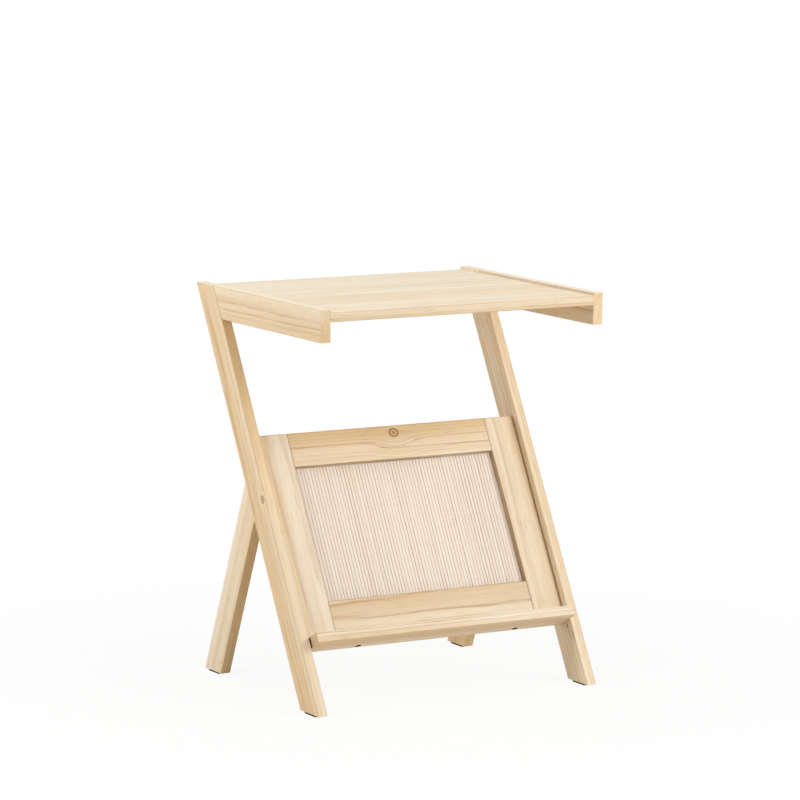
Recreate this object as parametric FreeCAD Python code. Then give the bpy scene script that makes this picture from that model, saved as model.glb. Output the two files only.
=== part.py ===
import FreeCAD, Part
import math
import os

from FreeCAD import Vector

# Magazine table with rack, in millimetres. X is the width, -Y the front, +Z up.
# The origin is on the floor, in the middle of the table.

# Overall size
table_width = 450.0
table_depth = 360.0
table_height = 560.0

# Side frames: flat stock on edge, seen wide from the side
member_thickness = 15.0
member_width = 45.0
member_edge_radius = 1.0
rear_leg_tip_drop = 9.5  # from the rack's top edge down to the rear leg's tip, along the front leg

# Foot pads
pad_thickness = 2.4
pad_length = 30.0
pad_width = 13.0

# Table top, let in between the rails
top_thickness = 14.0
top_drop = 3.5  # the rails stand above the top by this much
top_back_inset = 5.0
top_edge_radius = 2.0

# Rack frame, hung between the front legs and parallel to them
rack_height = 300.0
rack_thickness = 15.0
rack_recess = 10.0  # from the legs' front edge to the frame's face
rack_side_gap = 1.0  # on each side of the frame
rack_stile_width = 48.0
rack_rail_width = 51.0
rack_edge_radius = 3.0

# Reeded insert
backing_thickness = 3.0
backing_setback = 9.5  # from the frame's face to the backing
backing_tongue = 5.0  # how far the backing reaches into the frame's groove
groove_clearance = 0.1
reed_pitch = 5.2
reed_gap = 0.4
reed_side_height = 0.6
reed_crown = 1.4
reed_end_gap = 0.2

# Magazine ledge under the rack
ledge_rise = 99.0  # along the front leg, from its foot to the ledge's underside
ledge_thickness = 15.0
ledge_depth = 45.0
ledge_side_gap = 2.0  # at each end, to the front leg
ledge_edge_radius = 1.5

# Dowels
dowel_diameter = 6.0
dowel_clearance = 0.05  # all round
rail_dowel_length = 30.0
rail_dowel_spacing = 20.0
rail_dowel_drop = 4.0  # the pair sits this far below the middle of the seam
rack_dowel_length = 30.0
rack_dowel_spacing = 24.0
side_dowel_length = 24.0  # between the side frames and what hangs between them
side_dowel_cover = 5.0  # wood left behind the dowel in a side frame
rack_dowel_margin = 30.0  # from the rack's top and bottom edges
top_dowel_margin = 40.0  # from the top rails' front and lower back ends

# Cam locks and their bolts
cam_diameter = 12.0
cam_height = 10.0
cam_clearance = 0.1
cam_setback = 24.0  # from the panel's side to the cam's axis
cam_bolt_diameter = 5.0
cam_bolt_head_diameter = 6.0
cam_bolt_head_length = 4.0
cam_bolt_clearance = 0.25
cam_slot_width = 2.0  # cross slot for the screwdriver
cam_slot_depth = 2.0
rack_cam_margin = 60.0  # from the rack's top and bottom edges
top_cam_margin = 80.0  # from the top rails' front and lower back ends

# Wood screws
screw_diameter = 4.0
screw_clearance = 0.05
ledge_screw_inset = 33.5  # from the ends of the rack's bottom rail
ledge_screw_length = 35.0
ledge_screw_head_diameter = 7.6
ledge_screw_head_height = 2.6
ledge_counterbore_diameter = 8.4
ledge_counterbore_depth = 5.0
rear_screw_length = 24.0
rear_screw_head_diameter = 7.6
rear_screw_head_height = 2.2
rear_screw_spacing = 26.0
drive_recess_width = 1.2
drive_recess_length = 4.0
drive_recess_depth = 1.4

# Derived places
half_width = table_width / 2
inner_side = half_width - member_thickness  # inner face of the front legs and rails
front_y = -table_depth / 2
back_y = table_depth / 2
side_dowel_depth = member_thickness - side_dowel_cover

# The front leg fills the side's diagonal: foot corner in front, head corner at the back
leg_rise = table_height - pad_thickness
leg_lean = (math.acos(member_width / math.hypot(table_depth, leg_rise))
            - math.atan2(leg_rise, table_depth))
leg_foot_length = member_width / math.cos(leg_lean)
leg_up = Vector(0, math.sin(leg_lean), math.cos(leg_lean))
leg_back = Vector(0, math.cos(leg_lean), -math.sin(leg_lean))
leg_foot = Vector(0, front_y, pad_thickness)
seam_top = back_y - leg_foot_length  # slanted seam between top rail and front leg
seam_bottom = seam_top - member_width * math.tan(leg_lean)

# Places along the front leg, counted from its foot's front corner
rack_bottom = ledge_rise + ledge_thickness
rack_top = rack_bottom + rack_height
rack_back = rack_recess + rack_thickness
rack_middle = rack_recess + rack_thickness / 2
rack_side = inner_side - rack_side_gap
opening_side = rack_side - rack_stile_width
opening_bottom = rack_bottom + rack_rail_width
opening_top = rack_top - rack_rail_width
ledge_front = rack_back - ledge_depth
ledge_side = inner_side - ledge_side_gap
ledge_screw_x = opening_side - ledge_screw_inset

X_AXIS = Vector(1, 0, 0)
Z_AXIS = Vector(0, 0, 1)
SIDES = (("left", -1), ("right", 1))
TOUCH = 0.01  # points nearer than this lie on the same face


def leg_point(x, up, back):
    """Point at x, up along the front leg from its foot and back from its front edge."""
    return Vector(x, 0, 0) + leg_foot + leg_up * up + leg_back * back


def prism(outline, sweep):
    """Solid from a flat outline of points, swept along a vector."""
    return Part.Face(Part.makePolygon(outline + outline[:1])).extrude(sweep)


def side_prism(outline, side, inner):
    """Side frame member: an outline of (y, z) points, one stock thickness outwards from inner."""
    return prism([Vector(side * inner, y, z) for y, z in outline], X_AXIS * (side * member_thickness))


def rack_slab(x_low, x_high, up_low, up_high, back_low, back_high):
    """Block with its faces square to the front leg."""
    corners = ((up_low, back_low), (up_high, back_low), (up_high, back_high), (up_low, back_high))
    outline = [leg_point(x_low, up, back) for up, back in corners]
    return prism(outline, X_AXIS * (x_high - x_low))


def level_block(low, high):
    """Block with its faces square to the axes."""
    size = high - low
    return Part.makeBox(size.x, size.y, size.z, low)


def ease(shape, radius, direction):
    """Rounds the straight edges that run along direction."""
    picked = []
    for edge in shape.Edges:
        run = edge.Vertexes[-1].Point - edge.Vertexes[0].Point
        if abs(run.normalize().dot(direction)) > 0.999:
            picked.append(edge)
    return shape.makeFillet(radius, picked)


def ease_rack(shape, choose):
    """Rounds a rack piece's edges that choose picks from their middle's x and its place up the front leg."""
    picked = []
    for edge in shape.Edges:
        middle = edge.CenterOfMass
        if choose(middle.x, (middle - leg_foot).dot(leg_up)):
            picked.append(edge)
    return shape.makeFillet(rack_edge_radius, picked)


def rod(diameter, start, direction, length):
    return Part.makeCylinder(diameter / 2, length, start, direction)


def bore_all(shape, holes):
    """Cuts each (diameter, start, direction, length) hole."""
    for hole in holes:
        shape = shape.cut(rod(*hole))
    return shape


def mirrored(shape):
    return shape.mirror(Vector(0, 0, 0), X_AXIS)


def both_sides(shapes):
    """The shapes of the right side and their mirror images on the left."""
    return shapes + [mirrored(shape) for shape in shapes]


# Holes are worked out on the right side, and shared by the pieces that they run through.

# Dowels across the slanted seam between top rail and front leg
seam_middle = (leg_rise - member_width / 2) / math.cos(leg_lean)
dowel_hole_diameter = dowel_diameter + 2 * dowel_clearance
rail_dowel_starts = []
for offset in (-0.5, 0.5):
    along_seam = seam_middle - rail_dowel_drop + offset * rail_dowel_spacing
    middle_x = inner_side + member_thickness / 2
    rail_dowel_starts.append(leg_point(middle_x, along_seam, -rail_dowel_length / 2))
rail_dowel_holes = [(dowel_hole_diameter, start, leg_back, rail_dowel_length) for start in rail_dowel_starts]

# Dowels and cam bolts from the side frames into the rack stiles and the table top
side_dowel_x = inner_side + side_dowel_depth
rack_dowel_starts = [leg_point(side_dowel_x, up, rack_middle)
                     for up in (rack_bottom + rack_dowel_margin, rack_top - rack_dowel_margin)]
top_surface = table_height - top_drop
top_underside = top_surface - top_thickness
top_dowel_starts = [Vector(side_dowel_x, y, top_underside + top_thickness / 2)
                    for y in (front_y + top_dowel_margin, seam_bottom - top_dowel_margin)]
side_dowel_starts = rack_dowel_starts + top_dowel_starts
side_dowel_holes = [(dowel_hole_diameter, start, -X_AXIS, side_dowel_length) for start in side_dowel_starts]

rack_cam_seats = [leg_point(rack_side - cam_setback, up, rack_back)
                  for up in (rack_bottom + rack_cam_margin, rack_top - rack_cam_margin)]
top_cam_seats = [Vector(inner_side - cam_setback, y, top_underside)
                 for y in (front_y + top_cam_margin, seam_bottom - top_cam_margin)]
cam_seats = [(seat, -leg_back) for seat in rack_cam_seats] + [(seat, Z_AXIS) for seat in top_cam_seats]
cam_bolt_depth = cam_height / 2
cam_pocket_diameter = cam_diameter + 2 * cam_clearance
cam_pockets = [(cam_pocket_diameter, seat, inward, cam_height) for seat, inward in cam_seats]
cam_bolt_end = inner_side + side_dowel_depth


def cam_bolt_hole(seat, inward, extra):
    """Bolt's path from the side frame to just past the cam's axis."""
    axis_point = seat + inward * cam_bolt_depth
    start = Vector(cam_bolt_end, axis_point.y, axis_point.z)
    reach = cam_bolt_end - axis_point.x + cam_bolt_head_length / 2
    return (cam_bolt_diameter + extra, start, -X_AXIS, reach)


bolt_bore_extra = cam_bolt_head_diameter - cam_bolt_diameter + 2 * cam_bolt_clearance
panel_bolt_holes = [cam_bolt_hole(seat, inward, bolt_bore_extra) for seat, inward in cam_seats]
frame_bolt_holes = [cam_bolt_hole(seat, inward, 0) for seat, inward in cam_seats]

# Rear leg: its back edge runs from the floor's back corner to a tip behind the rack
rear_tip = leg_point(0, rack_top - rear_leg_tip_drop, rack_back)
rear_lean = math.atan2(back_y - rear_tip.y, rear_tip.z - pad_thickness)
rear_foot_length = member_width / math.cos(rear_lean)
rear_up = Vector(0, -math.sin(rear_lean), math.cos(rear_lean))
rear_cut_length = member_width / math.sin(leg_lean + rear_lean)
rear_inner = inner_side - member_thickness

# Screws through the rear leg's lap into the front leg
lap_middle_back = (rack_back + member_width) / 2
lap_tip_shift = (member_width - rack_back) / 2 / math.tan(leg_lean + rear_lean)
lap_middle_up = rack_top - rear_leg_tip_drop - rear_cut_length / 2 - lap_tip_shift
rear_screw_starts = [leg_point(rear_inner, lap_middle_up + offset * rear_screw_spacing, lap_middle_back)
                     for offset in (-0.5, 0.5)]
screw_hole_diameter = screw_diameter + 2 * screw_clearance
rear_screw_holes = [(screw_hole_diameter, start, X_AXIS, rear_screw_length) for start in rear_screw_starts]

# Screws up through the ledge into the rack's bottom rail
ledge_screw_starts = [leg_point(side * ledge_screw_x, ledge_rise, rack_middle) for _, side in SIDES]
ledge_screw_holes = [(screw_hole_diameter, start, leg_up, ledge_counterbore_depth + ledge_screw_length)
                     for start in ledge_screw_starts]
ledge_counterbores = [(ledge_counterbore_diameter, start, leg_up, ledge_counterbore_depth)
                      for start in ledge_screw_starts]


def front_leg():
    outline = [(front_y, pad_thickness), (front_y + leg_foot_length, pad_thickness),
               (back_y, table_height), (seam_top, table_height)]
    leg = ease(side_prism(outline, 1, inner_side), member_edge_radius, leg_up)
    return bore_all(leg, rail_dowel_holes + side_dowel_holes + frame_bolt_holes + rear_screw_holes)


def top_rail():
    underside = table_height - member_width
    outline = [(front_y, underside), (seam_bottom, underside), (seam_top, table_height), (front_y, table_height)]
    rail = ease(side_prism(outline, 1, inner_side), member_edge_radius, Vector(0, 1, 0))
    return bore_all(rail, rail_dowel_holes + side_dowel_holes + frame_bolt_holes)


def countersink(start):
    """Conical seat of a flat screw head, opening against the screw's direction of +X."""
    return Part.makeCone(rear_screw_head_diameter / 2, screw_diameter / 2, rear_screw_head_height, start, X_AXIS)


def rear_leg():
    front_tip = rear_tip - leg_up * rear_cut_length
    outline = [(back_y, pad_thickness), (rear_tip.y, rear_tip.z), (front_tip.y, front_tip.z),
               (back_y - rear_foot_length, pad_thickness)]
    leg = ease(side_prism(outline, 1, rear_inner), member_edge_radius, rear_up)
    for start in rear_screw_starts:
        leg = leg.cut(countersink(start))
    return bore_all(leg, rear_screw_holes)


def table_top():
    low = Vector(-inner_side, front_y, top_underside)
    high = Vector(inner_side, back_y - top_back_inset, top_surface)
    top = ease(level_block(low, high), top_edge_radius, X_AXIS)
    for hole in side_dowel_holes + cam_pockets + panel_bolt_holes:
        cutter = rod(*hole)
        top = top.cut(cutter).cut(mirrored(cutter))
    return top


def backing(extra):
    """The insert's backing panel, or its groove with extra all round."""
    reach = backing_tongue + extra
    face = rack_recess + backing_setback
    return rack_slab(-opening_side - reach, opening_side + reach, opening_bottom - reach, opening_top + reach,
                     face - extra, face + backing_thickness + extra)


rack_frame_dowel_starts = []
for rail_middle in (rack_bottom + rack_rail_width / 2, rack_top - rack_rail_width / 2):
    for offset in (-0.5, 0.5):
        up = rail_middle + offset * rack_dowel_spacing
        rack_frame_dowel_starts.append(leg_point(opening_side - rack_dowel_length / 2, up, rack_middle))
rack_frame_holes = [(dowel_hole_diameter, start, X_AXIS, rack_dowel_length) for start in rack_frame_dowel_starts]


def rack_stile():
    stile = rack_slab(opening_side, rack_side, rack_bottom, rack_top, rack_recess, rack_back)
    stile = ease_rack(stile, lambda x, up: x > opening_side + TOUCH and up > rack_bottom + TOUCH)
    stile = stile.cut(backing(groove_clearance))
    return bore_all(stile, rack_frame_holes + side_dowel_holes + cam_pockets + panel_bolt_holes)


def rack_rail(up_low, up_high):
    rail = rack_slab(-opening_side, opening_side, up_low, up_high, rack_recess, rack_back)
    rail = rail.cut(backing(groove_clearance))
    for hole in rack_frame_holes:
        cutter = rod(*hole)
        rail = rail.cut(cutter).cut(mirrored(cutter))
    return bore_all(rail, ledge_screw_holes)


def rack_top_rail():
    rail = rack_rail(opening_top, rack_top)
    return ease_rack(rail, lambda x, up: abs(x) < opening_side - TOUCH and up > rack_top - TOUCH)


def reed_strips():
    """Half-round strips side by side over the opening, glued to the backing."""
    opening_width = 2 * opening_side
    count = round(opening_width / reed_pitch)
    spacing = opening_width / count
    half_reed = (spacing - reed_gap) / 2
    glue_face = rack_recess + backing_setback
    low = opening_bottom + reed_end_gap
    length = opening_top - opening_bottom - 2 * reed_end_gap
    reeds = []
    for index in range(count):
        x = -opening_side + (index + 0.5) * spacing
        base_left = leg_point(x - half_reed, low, glue_face)
        base_right = leg_point(x + half_reed, low, glue_face)
        shoulder_left = base_left - leg_back * reed_side_height
        shoulder_right = base_right - leg_back * reed_side_height
        crest = leg_point(x, low, glue_face - reed_side_height - reed_crown)
        section = Part.Wire([
            Part.LineSegment(base_right, base_left).toShape(),
            Part.LineSegment(base_left, shoulder_left).toShape(),
            Part.Arc(shoulder_left, crest, shoulder_right).toShape(),
            Part.LineSegment(shoulder_right, base_right).toShape(),
        ])
        reeds.append(Part.Face(section).extrude(leg_up * length))
    return reeds


def magazine_ledge():
    ledge = rack_slab(-ledge_side, ledge_side, ledge_rise, rack_bottom, ledge_front, rack_back)
    ledge = ease(ledge, ledge_edge_radius, X_AXIS)
    return bore_all(ledge, ledge_counterbores + ledge_screw_holes)


def foot_pad(foot_middle_y, inner):
    middle_x = inner + member_thickness / 2
    low = Vector(middle_x - pad_width / 2, foot_middle_y - pad_length / 2, 0)
    high = Vector(middle_x + pad_width / 2, foot_middle_y + pad_length / 2, pad_thickness)
    return level_block(low, high)


def cross_recess(point, direction, side_axis, length, width, depth):
    """Cross-shaped drive recess, cut into a head from point along direction."""
    other_axis = direction.cross(side_axis)
    bars = []
    for long_axis, short_axis in ((side_axis, other_axis), (other_axis, side_axis)):
        corner = point - long_axis * (length / 2) - short_axis * (width / 2)
        outline = [corner, corner + long_axis * length, corner + long_axis * length + short_axis * width,
                   corner + short_axis * width]
        bars.append(prism(outline, direction * depth))
    return bars[0].fuse(bars[1])


def ledge_screw(start):
    """Pan-head screw whose head sits at the bottom of the ledge's counterbore."""
    seat = start + leg_up * ledge_counterbore_depth
    underside = seat - leg_up * ledge_screw_head_height
    head = rod(ledge_screw_head_diameter, underside, leg_up, ledge_screw_head_height)
    head = head.cut(cross_recess(underside, leg_up, X_AXIS, drive_recess_length, drive_recess_width,
                                 drive_recess_depth))
    return head.fuse(rod(screw_diameter, seat, leg_up, ledge_screw_length))


def rear_leg_screw(start):
    """Flat-head screw, flush with the rear leg's inner face."""
    head = countersink(start)
    shank_start = start + X_AXIS * rear_screw_head_height
    screw = head.fuse(rod(screw_diameter, shank_start, X_AXIS, rear_screw_length - rear_screw_head_height))
    return screw.cut(cross_recess(start, X_AXIS, leg_up, drive_recess_length, drive_recess_width,
                                  drive_recess_depth))


def cam_lock(seat, inward):
    """Round cam with a cross slot in its face and a way through for the bolt's head."""
    lock = rod(cam_diameter, seat, inward, cam_height)
    lock = lock.cut(rod(*cam_bolt_hole(seat, inward, bolt_bore_extra)))
    return lock.cut(cross_recess(seat, inward, X_AXIS, cam_diameter / 2, cam_slot_width, cam_slot_depth))


def cam_bolt(seat, inward):
    """Bolt screwed into the side frame, with its head held inside the cam."""
    shank = rod(*cam_bolt_hole(seat, inward, 0))
    axis_point = seat + inward * cam_bolt_depth
    head_start = axis_point + X_AXIS * (cam_bolt_head_length / 2)
    return shank.fuse(rod(cam_bolt_head_diameter, head_start, -X_AXIS, cam_bolt_head_length))


def dowels(starts, direction, length):
    return [rod(dowel_diameter, start, direction, length) for start in starts]


os.makedirs("parts", exist_ok=True)


def save(node, shapes):
    """Writes one node; several shapes become a group of separate solids."""
    shape = shapes[0] if len(shapes) == 1 else Part.makeCompound(shapes)
    for solid in shape.Solids:
        assert solid.isValid(), node
    shape.exportStep(os.path.join("parts", node + ".step"))


save("table_top", [table_top()])

front_foot_middle = front_y + leg_foot_length / 2
rear_foot_middle = back_y - rear_foot_length / 2
side_pieces = (
    ("{}_top_rail", top_rail()),
    ("{}_front_leg", front_leg()),
    ("{}_rear_leg", rear_leg()),
    ("rack_{}_stile", rack_stile()),
    ("{}_front_foot_pad", foot_pad(front_foot_middle, inner_side)),
    ("{}_rear_foot_pad", foot_pad(rear_foot_middle, rear_inner)),
)
for name, piece in side_pieces:
    for side_name, side in SIDES:
        save(name.format(side_name), [piece if side > 0 else mirrored(piece)])

save("rack_top_rail", [rack_top_rail()])
save("rack_bottom_rail", [rack_rail(rack_bottom, opening_bottom)])
save("reed_backing", [backing(0)])
save("reed_strips", reed_strips())
save("magazine_ledge", [magazine_ledge()])

save("top_rail_dowels", both_sides(dowels(rail_dowel_starts, leg_back, rail_dowel_length)))
save("rack_frame_dowels", both_sides(dowels(rack_frame_dowel_starts, X_AXIS, rack_dowel_length)))
save("rack_leg_dowels", both_sides(dowels(rack_dowel_starts, -X_AXIS, side_dowel_length)))
save("table_top_dowels", both_sides(dowels(top_dowel_starts, -X_AXIS, side_dowel_length)))
save("rack_cam_locks", both_sides([cam_lock(seat, -leg_back) for seat in rack_cam_seats]))
save("rack_cam_bolts", both_sides([cam_bolt(seat, -leg_back) for seat in rack_cam_seats]))
save("table_top_cam_locks", both_sides([cam_lock(seat, Z_AXIS) for seat in top_cam_seats]))
save("table_top_cam_bolts", both_sides([cam_bolt(seat, Z_AXIS) for seat in top_cam_seats]))
save("rear_leg_screws", both_sides([rear_leg_screw(start) for start in rear_screw_starts]))
save("ledge_screws", [ledge_screw(start) for start in ledge_screw_starts])

print("front leg leans", round(math.degrees(leg_lean), 3), "rear leg leans", round(math.degrees(rear_lean), 3))
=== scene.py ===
import math
import random

import bmesh
import bpy
from mathutils import Matrix, Vector


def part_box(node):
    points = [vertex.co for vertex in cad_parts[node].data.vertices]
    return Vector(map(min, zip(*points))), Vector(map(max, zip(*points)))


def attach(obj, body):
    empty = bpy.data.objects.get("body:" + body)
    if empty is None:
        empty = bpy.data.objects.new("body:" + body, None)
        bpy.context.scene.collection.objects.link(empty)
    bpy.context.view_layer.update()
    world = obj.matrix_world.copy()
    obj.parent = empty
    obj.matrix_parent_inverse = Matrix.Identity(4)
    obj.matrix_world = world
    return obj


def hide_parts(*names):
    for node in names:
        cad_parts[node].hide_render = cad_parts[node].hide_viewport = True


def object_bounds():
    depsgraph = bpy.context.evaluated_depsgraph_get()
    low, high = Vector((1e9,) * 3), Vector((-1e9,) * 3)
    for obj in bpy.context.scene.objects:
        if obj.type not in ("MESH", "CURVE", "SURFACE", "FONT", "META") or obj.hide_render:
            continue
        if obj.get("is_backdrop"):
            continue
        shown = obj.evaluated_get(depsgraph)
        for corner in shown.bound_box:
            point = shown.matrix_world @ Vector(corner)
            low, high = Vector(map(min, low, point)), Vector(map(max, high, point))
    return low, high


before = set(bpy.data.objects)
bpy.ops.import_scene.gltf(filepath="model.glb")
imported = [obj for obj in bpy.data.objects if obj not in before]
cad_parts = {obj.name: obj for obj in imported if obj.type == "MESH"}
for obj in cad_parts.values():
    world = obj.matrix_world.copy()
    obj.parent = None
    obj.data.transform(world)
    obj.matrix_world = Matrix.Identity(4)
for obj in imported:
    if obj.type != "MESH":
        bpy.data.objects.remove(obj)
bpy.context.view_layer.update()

# Front legs: two long flat members of pale pine, planed and sanded, under a clear matt lacquer.
# Each leans back right across its side frame, foot in front and head at the back, both cut level.
SIDES = (("left", -1), ("right", 1))
X_AXIS = Vector((1, 0, 0))
Y_AXIS = Vector((0, 1, 0))
Z_AXIS = Vector((0, 0, 1))
leg_low, leg_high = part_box("right_front_leg")
stock = leg_high.x - leg_low.x
stock_width = 0.045
stock_ease = 0.001
stock_segments = 3
end_ease = 0.0004
end_segments = 2
leg_run = leg_high.y - leg_low.y
leg_rise = leg_high.z - leg_low.z
leg_lean = math.acos(stock_width / math.hypot(leg_run, leg_rise)) - math.atan2(leg_rise, leg_run)
leg_up = Vector((0, math.sin(leg_lean), math.cos(leg_lean)))
leg_back = Vector((0, math.cos(leg_lean), -math.sin(leg_lean)))
leg_foot = Vector((0, leg_low.y, leg_low.z))
leg_foot_length = stock_width / math.cos(leg_lean)
leg_length = leg_rise / math.cos(leg_lean)


def leg_point(x, up, back):
    """Point at x, up along the front leg from its foot and back from its front edge."""
    return X_AXIS * x + leg_foot + leg_up * up + leg_back * back


def srgb(red, green, blue):
    """Linear colour from screen values of 0 to 255."""
    def linear(value):
        value /= 255
        return value / 12.92 if value <= 0.04045 else ((value + 0.055) / 1.055) ** 2.4

    return (linear(red), linear(green), linear(blue), 1.0)


class Wire:
    """A socket in a node tree. Operators on values add Math nodes, and node() adds any other node."""

    def __init__(self, tree, socket=None):
        self.tree = tree
        self.socket = socket

    def node(self, kind, settings, inputs, output=0):
        """Adds a node: its settings are set first, then its sockets get their values or links."""
        made = self.tree.nodes.new("ShaderNode" + kind)
        for name, value in settings.items():
            setattr(made, name, value)
        for name, value in inputs.items():
            if isinstance(value, Wire):
                self.tree.links.new(value.socket, made.inputs[name])
            else:
                made.inputs[name].default_value = value
        return Wire(self.tree, made.outputs[output])

    def math(self, operation, *values):
        return self.node("Math", {"operation": operation}, dict(enumerate(values)))

    def __add__(self, other):
        return self.math("ADD", self, other)

    def __radd__(self, other):
        return self.math("ADD", other, self)

    def __sub__(self, other):
        return self.math("SUBTRACT", self, other)

    def __rsub__(self, other):
        return self.math("SUBTRACT", other, self)

    def __mul__(self, other):
        return self.math("MULTIPLY", self, other)

    def __rmul__(self, other):
        return self.math("MULTIPLY", other, self)

    def __truediv__(self, other):
        return self.math("DIVIDE", self, other)

    def __rtruediv__(self, other):
        return self.math("DIVIDE", other, self)

    def __pow__(self, other):
        return self.math("POWER", self, other)

    def __rpow__(self, other):
        return self.math("POWER", other, self)

    def __abs__(self):
        return self.math("ABSOLUTE", self)

    def rise(self, low, high):
        """0 below low, 1 above high, and a smooth step between them."""
        return self.node("MapRange", {"interpolation_type": "SMOOTHSTEP"},
                         {"Value": self, "From Min": low, "From Max": high})

    def vector(self, operation, *others, output="Vector"):
        """Vector maths on this vector and any others."""
        return self.node("VectorMath", {"operation": operation}, dict(enumerate((self, *others))), output)

    def dot(self, direction):
        """How far this point lies along a direction, or how squarely this normal faces it."""
        return self.vector("DOT_PRODUCT", direction, output="Value")

    def length(self):
        return self.vector("LENGTH", output="Value")

    def parts(self):
        """The three values of a vector."""
        split = self.node("SeparateXYZ", {}, {0: self}).socket.node
        return [Wire(self.tree, socket) for socket in split.outputs]

    def noise(self, stretch, detail=2.0, roughness=0.5):
        """Noise at this point, with so many features a metre along each axis."""
        return self.node("TexNoise", {}, {"Vector": self.vector("MULTIPLY", stretch), "Scale": 1.0,
                                          "Detail": detail, "Roughness": roughness})

    def between(self, first, second):
        """A colour that goes from the first to the second as this value goes from 0 to 1."""
        return self.node("Mix", {"data_type": "RGBA"}, {0: self, 6: first, 7: second}, 2)

    def tint(self, colour, amount):
        """This colour, mixed towards another one."""
        return amount.between(self, colour)


def new_finish(name):
    """A material with its shader and the piece's own coordinates."""
    material = bpy.data.materials.new(name)
    material.use_nodes = True
    tree = material.node_tree
    return material, tree.nodes["Principled BSDF"], Wire(tree).node("TexCoord", {}, {}, "Object")


def dress(shader, colour, roughness, height, depth):
    """Feeds a shader its colour and roughness, and a bump of the given depth in metres."""
    bump_strength = 0.6
    tree = shader.id_data
    bump = colour.node("Bump", {}, {"Strength": bump_strength, "Distance": depth, "Height": height})
    tree.links.new(colour.socket, shader.inputs["Base Color"])
    tree.links.new(roughness.socket, shader.inputs["Roughness"])
    tree.links.new(bump.socket, shader.inputs["Normal"])


pine_cream = srgb(245, 233, 211)
pine_honey = srgb(227, 201, 160)
pine_blush = srgb(235, 212, 178)
# Gold is the rail ends' own colour, and the colour of painted warm light on the front legs.
gold_wood_and_warm_light = srgb(240, 196, 122)
pine_line = srgb(188, 146, 98)
pine_end = srgb(204, 166, 116)
pine_edge = srgb(202, 162, 110)
knot_wood = srgb(210, 170, 118)
knot_rim = srgb(140, 98, 54)
# Near black for painted shade, inside drilled holes and in the gaps at the ledge's ends.
bore_shade = srgb(36, 22, 10)
pine_shine = 0.1
pine_roughness = 0.48
pine_relief = 0.00012
edge_wear = 0.0016
stray_reach = 0.012
ripple_reach = 0.005
line_ripple = 0.002
wander_grain = (3.0, 16.0, 16.0)
ripple_grain = (6.0, 75.0, 75.0)
broken_grain = (8.0, 140.0, 140.0)
band_grain = (1.2, 50.0, 50.0)
blush_grain = (4.0, 26.0, 26.0)
fibre_grain = (20.0, 1000.0, 1000.0)
dash_grain = (35.0, 520.0, 520.0)
pore_grain = (700.0, 700.0, 700.0)
ring_grain = 140.0
ring_unevenness = 1.6
knot_squeeze = 0.85
knot_unevenness = 0.35
knot_pull = 0.85
knot_pull_fade = 0.06
band_swing = 2.2
blush_share = 0.45
summer_share = 0.2
line_share = 0.42
dash_share = 0.26
fibre_share = 0.6


def grain_place(place, centre, along, across):
    """A board's own coordinates: along its grain, across it and through it, from its centre."""
    turn = Matrix((along, across, along.cross(across))).transposed().to_euler()
    return place.node("Mapping", {"vector_type": "TEXTURE"},
                      {"Vector": place, "Location": centre, "Rotation": turn})


def knot_marks(u, s, ripple, knots):
    """The knots' pull on the grain beside them, their wood, and their dark rims and hearts."""
    pull = 0.0
    wood = 0.0
    rim = 0.0
    for knot_u, knot_s, knot_radius in knots:
        across_knot = s - knot_s
        along_knot = (u - knot_u) * knot_squeeze
        reach = (along_knot * along_knot + across_knot * across_knot) ** 0.5 / knot_radius
        reach = reach + ripple * knot_unevenness
        pull = pull + across_knot * 2.0 ** (reach * reach * -knot_pull_fade) * knot_pull
        wood = wood + (1.0 - reach.rise(0.85, 1.15))
        dark_ring = reach.rise(0.68, 0.9) * (1.0 - reach.rise(1.0, 1.25))
        dark_heart = (1.0 - reach.rise(0.2, 0.5)) * 0.7
        rim = rim + dark_ring + dark_heart
    return pull, wood, rim


def growth_rings(from_heart, cut, ring):
    """The summer wood of each year's ring and the fine line at its end, both bolder in some years."""
    unevenness = from_heart.node("TexNoise", {"noise_dimensions": "1D"},
                                 {"W": from_heart + cut, "Scale": ring_grain, "Detail": 1.0})
    age = from_heart / ring + unevenness * ring_unevenness
    season = age.math("FRACT", age)
    year = age.math("FLOOR", age)
    strong = year.node("TexWhiteNoise", {"noise_dimensions": "1D"}, {"W": year + cut}) * 0.8 + 0.2
    summer = season.rise(0.15, 0.9) * (1.0 - season.rise(0.9, 1.0)) * strong
    fine_line = season.rise(0.66, 0.86) * (1.0 - season.rise(0.92, 1.0)) * strong
    return summer, fine_line


def wash(direction, colour, strength, growth=Z_AXIS, start=-2.0, end=-1.0):
    """A colour laid on the faces that look one way: the wood's own tone, or painted light or shade. It grows
    along a direction, from start to end. Unless these are given, it is at full strength on the whole table."""
    return direction, colour, strength, growth, start, end


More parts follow.
